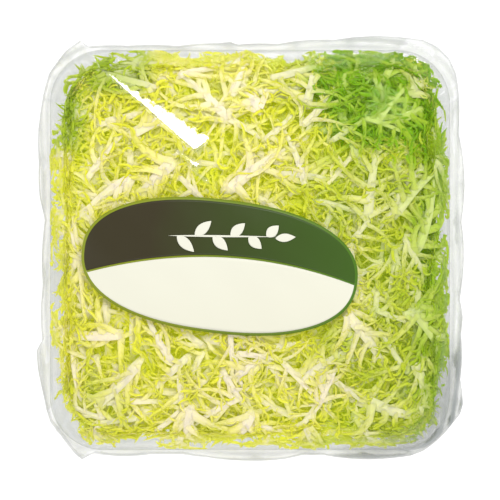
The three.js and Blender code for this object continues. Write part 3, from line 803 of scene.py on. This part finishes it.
def scattered(columns, inside):
    # spots on a shaken square grid, each heading out from near the middle with a wide spread
    reach = lay["heapHalf"]
    cell = 2 * reach / columns
    grid = (np.arange(columns) + 0.5) * cell - reach
    x, y = (v.ravel() + draw.uniform(-0.5, 0.5, columns**2) * cell for v in np.meshgrid(grid, grid))
    spot = np.stack([x, y], -1)[inside(x, y)]
    count = len(spot)
    outward = np.arctan2(spot[:, 1], spot[:, 0])
    heading = outward + draw.normal(0, 1.15, count)
    # most of the leaves near the rim lie along it
    beside = (np.round(outward / (math.pi / 2)) + np.where(draw.random(count) < 0.5, -1, 1)) * math.pi / 2
    nearRim = squareNorm(spot[:, 0], spot[:, 1]) > lay["rimwards"]
    along = nearRim & (draw.random(count) < lay["rimwardShare"])
    return spot, np.where(along, beside + draw.normal(0, 0.35, count), heading)


def heapPiece(name, kind, inside, columns, length, depth, bulk, branches, lobes, lobeBulk):
    # scattered leaves, each rooted behind its spot, so that its middle lies there
    spot, heading = scattered(columns, inside)
    step = np.stack([np.cos(heading), np.sin(heading)], -1) * (length * 0.45)
    root = np.clip(spot - step, -lay["rootHalf"], lay["rootHalf"])
    leaves = leafSet(root, heading, length, length * 0.7, depth, bulk, branches, lobes, lobeBulk)
    leafPiece(name, leaves, onTop, kind)


# The parts of the heap, seen from above.

def isRight(x, y):
    return x > 62 - 0.12 * y


def isCorner(x, y):
    return (y > 88) & (x < -44)


def isYellow(x, y):
    return ~isRight(x, y) & ~isCorner(x, y)


def isWest(x, y):
    return isYellow(x, y) & (x < -14)


def isMiddle(x, y):
    return isYellow(x, y) & (x >= -14)


# name, kind, roots and tips, bulk, branches, lobes on each, bulk of the lobes
largePiece("largeYellowLeaves", "yellow", yellowTop, 1.35, 12, 6, 1.1)
largePiece("largeGreenLeaves", "green", greenRight, 1.2, 12, 7, 1.25)
largePiece("cornerGreenLeaves", "corner", greenTopLeft, 1.0, 12, 7, 1.25)

# name, kind, where, columns of the grid, length, depth under the film, bulk, branches, lobes, their bulk
heapPiece("upperWestLeaves", "yellow", isWest, 13, 52, (1.0, 6.0), 0.85, 9, 6, 1.0)
heapPiece("upperMiddleLeaves", "yellow", isMiddle, 13, 52, (1.0, 6.0), 0.85, 9, 6, 1.0)
heapPiece("lowerYellowLeaves", "yellow", isYellow, 11, 58, (4.5, 8.5), 0.9, 9, 5, 1.4)
heapPiece("upperGreenLeaves", "green", isRight, 14, 50, (1.0, 6.0), 0.75, 10, 7, 1.1)
heapPiece("lowerGreenLeaves", "green", isRight, 11, 55, (4.5, 8.5), 0.9, 10, 6, 1.5)
heapPiece("upperCornerLeaves", "corner", isCorner, 14, 40, (1.0, 6.0), 0.7, 10, 7, 1.1)


def wallPiece(name, count, depth, lobeBulk):
    # leaves round the wall, rooted at even distances and at a random height, most of them upright
    along = (np.arange(count) + draw.uniform(-0.4, 0.4, count)) * 4 * wallQuarter / count
    root = np.stack([along, draw.uniform(5, 18, count)], -1)
    heading = math.pi / 2 + draw.normal(0, 0.55, count)
    leafPiece(name, leafSet(root, heading, 48, 40, depth, 0.85, 10, 5, lobeBulk), onWall, "yellow")


def floorPiece(name, count):
    # leaves spread from the stub like spokes
    heading = np.arange(count) * 2 * math.pi / count + draw.uniform(-0.1, 0.1, count)
    leaves = leafSet(np.zeros((count, 2)), heading, 88, 48, (0.0, 3.0), 1.15, 12, 5, 1.5, curl=0.007)
    leafPiece(name, leaves, onFloor, "yellow")


wallPiece("wallLeaves", 52, (0.9, 2.4), 1.3)
wallPiece("innerWallLeaves", 28, (3.0, 6.0), 1.8)
floorPiece("floorLeaves", 32)
largePiece("rimLeaves", "yellow", overFlange, 0.85, 8, 4, 1.25, limit=lay["overFlange"][1])
print("leaves grown")


# The dense heart behind the leaves.

heart = {
    "sideInset": 8.0, "rimInset": 3.5, "topInset": 8.5, "shoulder": 6.0, "bottomZ": 7.0, "lowestZ": 6.2,
    "roughness": 2.6, "middleZ": 30.0, "stations": 200, "rings": (10, 5, 10, 10, 8, 12, 14),
}


def heartPiece():
    # a loft under the dome, roughened by a sum of crossed waves
    h = heart

    def ring(half, height):
        return squareRing(half, height, h["stations"])

    def under(drop):
        return lambda x, y: roomTop(x, y) - h["topInset"] - drop

    foot = tray["floorHalf"] - h["sideInset"]
    keys = [
        ring(4, h["bottomZ"]), ring(foot - 14, h["bottomZ"]), ring(foot, h["bottomZ"] + 5),
        ring(tray["ledgeHalf"] - 2 - h["sideInset"], tray["ledgeZ"] - 4),
        ring(tray["rimHalf"] - h["shoulder"] - h["rimInset"], under(h["shoulder"] - 1.5)),
        ring(82, under(0.5)), ring(46, under(0)), ring(4, under(0)),
    ]
    rings = throughRings(keys, h["rings"])
    x, y, z = rings[..., 0], rings[..., 1], rings[..., 2]
    rough = (
        np.sin(x * 0.55 + 2.1 * np.sin(y * 0.31)) * np.sin(y * 0.61 + 1.7 * np.sin(x * 0.37 + z * 0.3))
        + 0.6 * np.sin(z * 0.8 + x * 0.4) * np.sin(y * 0.9 - z * 0.5)
    )
    rings = rings + unit(rings - (0, 0, h["middleZ"])) * (rough * h["roughness"])[..., None]
    rings[..., 2] = np.maximum(rings[..., 2], h["lowestZ"])
    poles = (rings[0, :, 2].mean(), rings[-1, :, 2].mean())
    mesh = closedLoft("leafHeart", rings, poles, heartFinish, "yellow_leaf", "yellow_leaves")
    spots = np.concatenate([rings.reshape(-1, 3), np.zeros((2, 3))])
    addAttribute(mesh, "leafGreen", greenAt(spots, 0.5))
    addAttribute(mesh, "leafGlow", paintedLightAt(spots))


heartPiece()


# The root stub, cut flat below, where the leaves grow from.

stub = {"radius": 15.0, "topRadius": 9.0, "height": 13.0, "z": 4.3, "stations": 96}


def stubPiece():
    # a profile turned about +Z, its radius waved by the scars of the leaves
    s = stub
    turn = np.arange(s["stations"]) / s["stations"] * 2 * math.pi
    profile = np.array([
        [3.0, 0.15], [9.0, 0.0], [s["radius"] - 1.5, 0.0], [s["radius"] - 0.3, 0.6], [s["radius"], 1.8],
        [s["radius"] - 1.0, 5.0], [s["radius"] - 2.2, 8.0], [11.0, 11.0], [s["topRadius"], s["height"] - 0.6],
        [6.0, s["height"]],
    ])
    scars = 1 - 0.045 * np.abs(np.sin(turn * 6)) ** 0.7 - 0.02 * np.sin(turn * 17)
    ease = np.clip(profile[:, 0] / s["radius"], 0, 1) ** 3
    radius = profile[:, :1] * (1 + (scars - 1) * ease[:, None])
    height = np.broadcast_to(profile[:, 1:], radius.shape) + s["z"]
    keys = np.stack([radius * np.cos(turn), radius * np.sin(turn), height], -1)
    rings = throughRings(keys, [4] * (len(profile) - 1))
    poles = (s["z"] + 0.2, s["z"] + s["height"])
    closedLoft("rootStub", rings, poles, stubMaterial(), "stub_flesh", "root_stub")


stubPiece()
print("stub made")


# The tray.

def trayPiece():
    # the pressed shell's profile, outside up and inside down, lofted round its rounded square
    t = tray
    foot, panel, ledge, rim, flange = (
        t[name] for name in ("floorHalf", "panelHalf", "ledgeHalf", "rimHalf", "flangeHalf")
    )
    floorZ, ledgeZ, top, wall = t["floorZ"], t["ledgeZ"], t["height"], t["wall"]
    panelZ, bead, lip = floorZ + t["panelRise"], top + t["beadHeight"], top - t["lipDrop"]
    profile = [
        (t["poleHalf"], panelZ), (panel - 3, panelZ), (panel - 1.6, panelZ - 0.3),
        (panel + 1.6, floorZ + 0.3), (panel + 3, floorZ), (foot - 5, floorZ), (foot - 2, floorZ + 0.5),
        (foot, floorZ + 2.2), (foot + 2, floorZ + 6), (ledge - 2.2, ledgeZ - 2.2),
        (ledge - 1.5, ledgeZ - 1.2), (ledge + 0.6, ledgeZ - 0.2), (ledge + 1.4, ledgeZ + 0.9),
        (rim - 0.5, top - 2.2), (rim + 0.4, top - 1.0), (rim + 1.6, top - 0.9), (rim + 2.4, bead - 0.8),
        (rim + 3.6, bead - 0.8), (rim + 4.4, top - 0.9), (flange - 1.8, top - 0.9),
        (flange - 1.0, top - 1.4), (flange - 0.8, lip), (flange - 0.2, lip), (flange, top - 1.2),
        (flange - 0.3, top - 0.3), (flange - 1.2, top), (rim + 4.5, top), (rim + 3.7, bead),
        (rim + 2.3, bead), (rim + 1.5, top), (rim + 0.3, top - 0.1), (rim - 0.8, top - 1.0),
        (rim - 1.3, top - 2.6), (ledge + 0.5, ledgeZ + 1.6), (ledge - 0.2, ledgeZ + 0.6),
        (ledge - 2.3, ledgeZ - 0.5), (ledge - 3.1, ledgeZ - 2.0), (foot + 1.1, floorZ + 6.4),
        (foot - 0.9, floorZ + 2.8), (foot - 2.8, floorZ + wall + 0.5), (foot - 5.4, floorZ + wall),
        (panel + 3, floorZ + wall), (panel + 1.4, floorZ + wall + 0.3), (panel - 1.8, panelZ + wall - 0.3),
        (panel - 3.2, panelZ + wall), (t["poleHalf"], panelZ + wall),
    ]
    rings = np.stack([squareRing(half, z, t["stations"]) for half, z in profile])
    # flutes press in the wall between foot and ledge
    z = rings[..., 2]
    station = np.arange(t["stations"]) / t["stations"] * 4
    band = smooth((z - 7) / 4) * smooth((30 - z) / 3)
    flute = band * t["fluteDepth"] * (0.5 - 0.5 * np.cos(station * t["flutes"] * 2 * math.pi))
    rings[..., :2] -= unit(rings[..., :2]) * flute[..., None]
    mesh = closedLoft("clearTray", rings, (panelZ, panelZ + wall), trayFinish, "clear_tray", "tray")
    # mask for the veil of haze and painted grey shade over the rim and flange
    slack = smooth((squareNorm(rings[..., 0], rings[..., 1]) - (rim - 1.5)) / 3)
    addAttribute(mesh, "slack", np.append(slack, (0.0, 0.0)))


trayPiece()
print("tray made")


# The film.

def edgeReach(angle):
    # distance from the middle to the slack edge in each direction, straight between the chosen points
    x, y = fromPixels(filmEdge).T
    at = np.arctan2(y, x)
    order = np.argsort(at)
    return np.interp(angle, at[order], np.hypot(x, y)[order], period=2 * math.pi)


folds = [  # creases pressed up by what lies below: start and end of the ridge in pixels, widest part in mm
    {"start": (92, 62), "end": (200, 150), "width": 15.0, "growth": 1.15},
    {"start": (170, 146), "end": (197, 168), "width": 6.0, "growth": 0.7},
    {"start": (186, 166), "end": (206, 182), "width": 3.0, "growth": 0.7},
]
foldShape = {
    "slope": 0.28, "back": 1.0, "end": 1.1,  # rise across, drop behind and past the end
    "ahead": 0.55, "ragged": 0.9,  # share ahead of the line, raggedness of the painted highlight's edge in mm
}


def foldHeight(fold, x, y):
    # the least of the even slope to one side, the steep back and the drop past both ends
    a, b = fromPixels([fold["start"], fold["end"]])
    length = np.hypot(*(b - a))
    ahead = (b - a) / length
    along = (x - a[0]) * ahead[0] + (y - a[1]) * ahead[1]
    aside = (y - a[1]) * ahead[0] - (x - a[0]) * ahead[1]
    width = fold["width"] * np.clip(along / length, 0, 1) ** fold["growth"]
    slope = foldShape["slope"] * (width * foldShape["ahead"] - aside)
    back = foldShape["back"] * (aside + width * (1 - foldShape["ahead"]))
    return np.minimum(slope, np.minimum(back, foldShape["end"] * (length + 2 - along))), slope < back


def foldGlint(x, y):
    # 1 on the even slopes of the folds, where their reflection is boosted into a painted highlight
    glint = np.zeros_like(x)
    ragged = foldShape["ragged"] * np.abs(np.sin(x * 0.5 + y * 0.62 + 1) * np.sin(y * 0.41 - x * 0.23))
    for fold in folds:
        height, bright = foldHeight(fold, x, y)
        glint = np.maximum(glint, smooth((height + 0.25 - ragged * smooth(fold["width"] / 9)) / 0.3) * bright)
    return glint


def filmSurface(x, y):
    # the film's top within the flange: the dome, a calm unevenness and the highest of the folds
    calm = 0.25 * np.sin(x * 0.16 + 2 * np.sin(y * 0.05)) * np.sin(y * 0.13 + x * 0.03)
    return filmTop(x, y) + calm + np.maximum(0, np.max([foldHeight(fold, x, y)[0] for fold in folds], axis=0))


def crease(t):
    # narrow ridges, one for each turn of t by pi
    return (1 - np.abs(np.sin(t))) ** 3


def filmPiece():
    # flat base, slack skirt, outer edge and dome, with creases that grow from the flange outwards
    f = film

    def ring(half, height):
        return squareRing(half, height, f["stations"])

    foot = ring(f["footHalf"], f["footZ"])
    rim = ring(f["rimHalf"], f["rimZ"] - f["rimDrop"])
    angle = np.arctan2(rim[:, 1], rim[:, 0])
    reach = np.maximum(edgeReach(angle), np.hypot(rim[:, 0], rim[:, 1]) + f["rimSlack"])
    edgeZ = f["edgeZ"] + f["edgeWave"] * np.sin(f["edgeWaves"] * angle)
    edge = np.column_stack([reach * np.cos(angle), reach * np.sin(angle), edgeZ])
    skirt = blend(foot, edge, f["skirtShare"])
    skirt[:, 2] = f["skirtZ"] + f["skirtWave"] * np.sin(angle * f["skirtWaves"])
    bottom = [ring(half, 0.0) for half in np.linspace(3, f["baseHalf"], f["baseRings"])[:-1]]
    keys = [ring(f["baseHalf"], 0.0), foot, skirt, edge, rim, ring(f["shoulderHalf"], filmTop)]
    inner = [ring(half, filmTop) for half in np.linspace(f["shoulderHalf"], 1.6, f["domeRings"])[1:]]
    rings = np.concatenate([np.stack(bottom), throughRings(keys, f["rings"]), np.stack(inner)])

    x, y, z = rings[..., 0], rings[..., 1], rings[..., 2]
    around = np.broadcast_to(np.arange(f["stations"]) / f["stations"] * 2 * math.pi, x.shape)
    reach = squareNorm(x, y)
    outer = smooth((reach - 97) / 14)
    upper = z > 40
    pleats, pleatLift, pleatDip = f["pleats"]
    finePleats, fineLift, fineDip = f["finePleats"]
    pleat = crease(around * pleats + 1.2 * np.sin(around * 5) + 0.6 * np.sin(reach * 0.2))
    fine = crease(around * finePleats + 2.0 * np.sin(around * 7 + 1) + reach * 0.05)
    lower = smooth((z - 3) / 8) * (1 - smooth((z - 38) / 8))
    lift = np.where(upper, outer * (pleatLift * pleat + fineLift * fine), 0)
    lift = lift + np.where(upper, (1 - outer) * (filmSurface(x, y) - filmTop(x, y)), 0)
    lift = np.where(upper & (reach < 112), lift, lift * smooth((z - 42) / 4))
    inward = lower * (pleatDip * pleat + fineDip * fine + 0.8 * crease(z * 0.21 + 2 * np.sin(around * 6)))
    out = unit(np.stack([x, y, np.zeros_like(x)], -1))
    rings = rings - out * inward[..., None]
    rings[..., 2] += lift
    poles = (0, float(filmSurface(0.0, 0.0)))
    mesh = closedLoft("filmWrap", rings, poles, filmFinish, "clear_film", "film_wrap")

    # how thick the veil of haze and painted grey shade is: streaked over the flange, patchy outside it,
    # heavier towards the bottom right and heaviest along the outline
    streak = 0.6 + 0.5 * np.sin(reach * 1.3 + 2 * np.sin(around * 9)) + 0.3 * pleat
    bottomRightShade = 1 + f["bottomRightShade"] * smooth((x - y - 150) / 40)
    patches = 1 + 0.6 * np.sin(around * 9 + 2.5 * np.sin(around * 4)) * np.sin(around * 5 + 1)
    outside = 1 + 0.9 * smooth((reach - 111.5) / 2) * patches
    slack = np.where(upper, smooth((reach - 101) / 10) * streak * outside, 1.0) * bottomRightShade
    outline = len(bottom) + sum(f["rings"][:3])
    slack[outline - 1:outline + 2] = f["outlineShade"]
    addAttribute(mesh, "slack", np.append(slack, (1.0, 0.0)))
    # glint: where the folds' reflection is boosted into a painted highlight
    addAttribute(mesh, "glint", np.append(np.where(upper, foldGlint(x, y), 0.0), (0.0, 0.0)))


filmPiece()
print("film made")


# The print on the film: an oval in two inks parted by an arc, with a sprig on the darker part.

oval = {
    "middle": (-17.0, -9.0), "halfWidth": 77.0, "halfHeight": 37.0, "tilt": -0.12, "power": 2.3,
    "part": 5.0, "partSag": 13.0, "partTilt": 6.0,  # the arc between the inks: its height, sag and tilt
    "rim": 1.6, "steps": (90, 26), "lift": 0.12, "ink": 0.12, "least": 0.02,
}
sprig = {
    "stem": ((-30.0, 13.5), (30.0, 20.0)), "stemHalf": 0.55, "leaves": 6, "leafLength": 13.0, "leafHalf": 2.9,
    "leafTurn": 0.75, "lift": 0.36, "steps": (24, 9),
}


def inkPiece(name, u, v, lift, material, slot):
    # a thin closed skin over the film from a grid of points on the oval's own axes, whose rows run left
    # to right, bottom row first
    x, y = turned(u, v, oval["tilt"])
    x, y = x + oval["middle"][0], y + oval["middle"][1]
    rows, columns = x.shape
    z = filmSurface(x, y) + lift
    top = np.stack([x, y, z + oval["ink"]], -1).reshape(-1, 3)
    low = np.stack([x, y, z], -1).reshape(-1, 3)
    count = rows * columns
    up = gridFaces(rows, columns, closed=False)
    rim = np.concatenate([
        np.arange(columns), np.arange(1, rows) * columns + columns - 1,
        (rows - 1) * columns + np.arange(columns - 2, -1, -1), np.arange(rows - 2, 0, -1) * columns,
    ])
    beside = np.roll(rim, -1)
    walls = np.stack([rim + count, beside + count, beside, rim], -1)
    mesh = fillMesh(name, np.concatenate([top, low]) * mm, [up, up[:, ::-1] + count, walls])
    addPiece(name, mesh, material, slot)


def bandPiece(name, half, low, high, lift, material, slot):
    # the part of the oval between two curves, over the whole width given
    columns, rows = oval["steps"]
    u = half * np.sin(np.linspace(-0.5, 0.5, columns) * math.pi)
    bottom, top = low(u), np.maximum(high(u), low(u) + oval["least"])
    v = blend(bottom, top, np.linspace(0, 1, rows)[:, None])
    inkPiece(name, np.broadcast_to(u, v.shape), v, lift, material, slot)


def ovalHeight(u, inset):
    # half the height of the oval, a square-shouldered ellipse, at a distance from its middle
    a, b = oval["halfWidth"] - inset, oval["halfHeight"] - inset
    return b * (1 - np.minimum(1, np.abs(u) / a) ** oval["power"]) ** (1 / oval["power"])


def partLine(u):
    # the arc between the inks: a parabola on a slope
    share = u / oval["halfWidth"]
    return oval["part"] - oval["partSag"] * share**2 + oval["partTilt"] * share


def leafShape(name, root, tip, half, material):
    # a pointed leaf between two points of the oval's axes, its width a bowed sine
    stations, across = sprig["steps"]
    share = np.linspace(0.0, 1.0, stations)
    width = np.maximum(half * np.sin(math.pi * share**0.85) ** 0.9, oval["least"])
    run = np.subtract(tip, root)
    ahead = run / np.hypot(*run)
    across = np.linspace(-1, 1, across)[:, None]
    u = root[0] + run[0] * share - ahead[1] * across * width
    v = root[1] + run[1] * share + ahead[0] * across * width
    inkPiece(name, u, v, oval["lift"] + 3 * oval["ink"] + sprig["lift"], material, "cream_ink")


def printPieces():
    # the rim, then both halves on it, then the sprig with leaves to both sides in turn
    creamInk = inkMaterial("creamInk", (0.62, 0.61, 0.50), (0.67, 0.67, 0.58), 1)
    darkInk = inkMaterial("darkInk", (0.030, 0.024, 0.008), (0.035, 0.085, 0.006), 0)
    oliveInk = inkMaterial("oliveInk", (0.20, 0.24, 0.010), (0.060, 0.150, 0.008), 0)
    rim, base = oval["rim"], oval["lift"]

    def outer(u):
        return ovalHeight(u, 0)

    def inner(u):
        return ovalHeight(u, rim)

    def parted(raised):
        return lambda u: np.clip(partLine(u) + raised, -inner(u), inner(u))

    inside = oval["halfWidth"] - rim
    over = base + oval["ink"] + 0.12
    bandPiece("printRim", oval["halfWidth"], lambda u: -outer(u), outer, base, oliveInk, "green_ink")
    bandPiece("printLower", inside, lambda u: -inner(u), parted(0), over, creamInk, "cream_ink")
    bandPiece("printUpper", inside, parted(rim * 0.7), inner, over, darkInk, "green_ink")
    root, tip = np.array(sprig["stem"])
    lean = math.atan2(tip[1] - root[1], tip[0] - root[0])
    leafShape("sprigStem", root, tip, sprig["stemHalf"], creamInk)
    for index in range(sprig["leaves"]):
        spot = blend(root, tip, blend(0.08, 0.9, index / (sprig["leaves"] - 1)))
        angle = lean + sprig["leafTurn"] * (1 if index % 2 else -1)
        reach = sprig["leafLength"] * (1 - 0.06 * index)
        end = spot + reach * np.array([math.cos(angle), math.sin(angle)])
        leafShape("sprigLeaf" + str(index + 1), spot, end, sprig["leafHalf"], creamInk)
    end = tip + 10 * np.array([math.cos(lean), math.sin(lean)])
    leafShape("sprigTip", tip - 1, end, sprig["leafHalf"] * 0.8, creamInk)


printPieces()
print("print made")


# Floor, lights and camera.

def plainFloor(half, drop):
    # a pale square just below the pack, which gives off a little light as a light table does
    board = Board("paleFloor")
    material = board.surface({
        "Base Color": (0.35, 0.35, 0.35, 1.0), "Roughness": 0.9,
        "Emission Color": (1.0, 1.0, 1.0, 1.0), "Emission Strength": 0.8,
    })
    corners = half * np.array([[-1, -1, 0], [1, -1, 0], [1, 1, 0], [-1, 1, 0]]) - (0, 0, drop)
    mesh = fillMesh("floor", corners, [np.array([[0, 1, 2, 3]])], smoothShading=False)
    floor = bpy.data.objects.new("floor", mesh)
    mesh.materials.append(material)
    bpy.context.scene.collection.objects.link(floor)


def softLight(name, place, size, power):
    # a square lamp turned to face the middle of the pack
    light = bpy.data.lights.new(name, "AREA")
    light.shape = "SQUARE"
    light.size = size
    light.energy = power
    holder = bpy.data.objects.new(name, light)
    holder.location = place
    down = -np.array(place, float)
    tilt = math.acos(-down[2] / np.linalg.norm(down))
    holder.rotation_euler = (tilt, 0, math.atan2(down[1], down[0]) - math.pi / 2)
    bpy.context.scene.collection.objects.link(holder)


plainFloor(half=2.0, drop=0.0004)
world = bpy.data.worlds.new("softStudio")
world.use_nodes = True
sky = world.node_tree.nodes["Background"].inputs
sky["Color"].default_value = (1.0, 0.995, 0.985, 1.0)
sky["Strength"].default_value = 0.74
bpy.context.scene.world = world
# name, place and size in metres, power in watts
softLight("keyLight", (0.235, 0.775, 0.95), 0.6, 8.4)
softLight("eastLight", (0.95, 0.1, 0.9), 0.7, 1.3)
softLight("northLight", (-0.1, 0.95, 0.9), 0.7, 0.8)
softLight("westLight", (-0.95, -0.1, 0.9), 0.7, 3.0)
softLight("southLight", (0.1, -0.95, 0.9), 0.7, 4.0)

camera = bpy.data.cameras.new("overhead")
camera.lens = 148
camera.sensor_width = 36
cameraHolder = bpy.data.objects.new("overhead", camera)
cameraHolder.location = (0, 0, 1.2)
bpy.context.scene.collection.objects.link(cameraHolder)
bpy.context.scene.camera = cameraHolder
bpy.context.scene.view_settings.view_transform = "Standard"
bpy.context.scene.cycles.transparent_max_bounces = 24

print("scene ready")
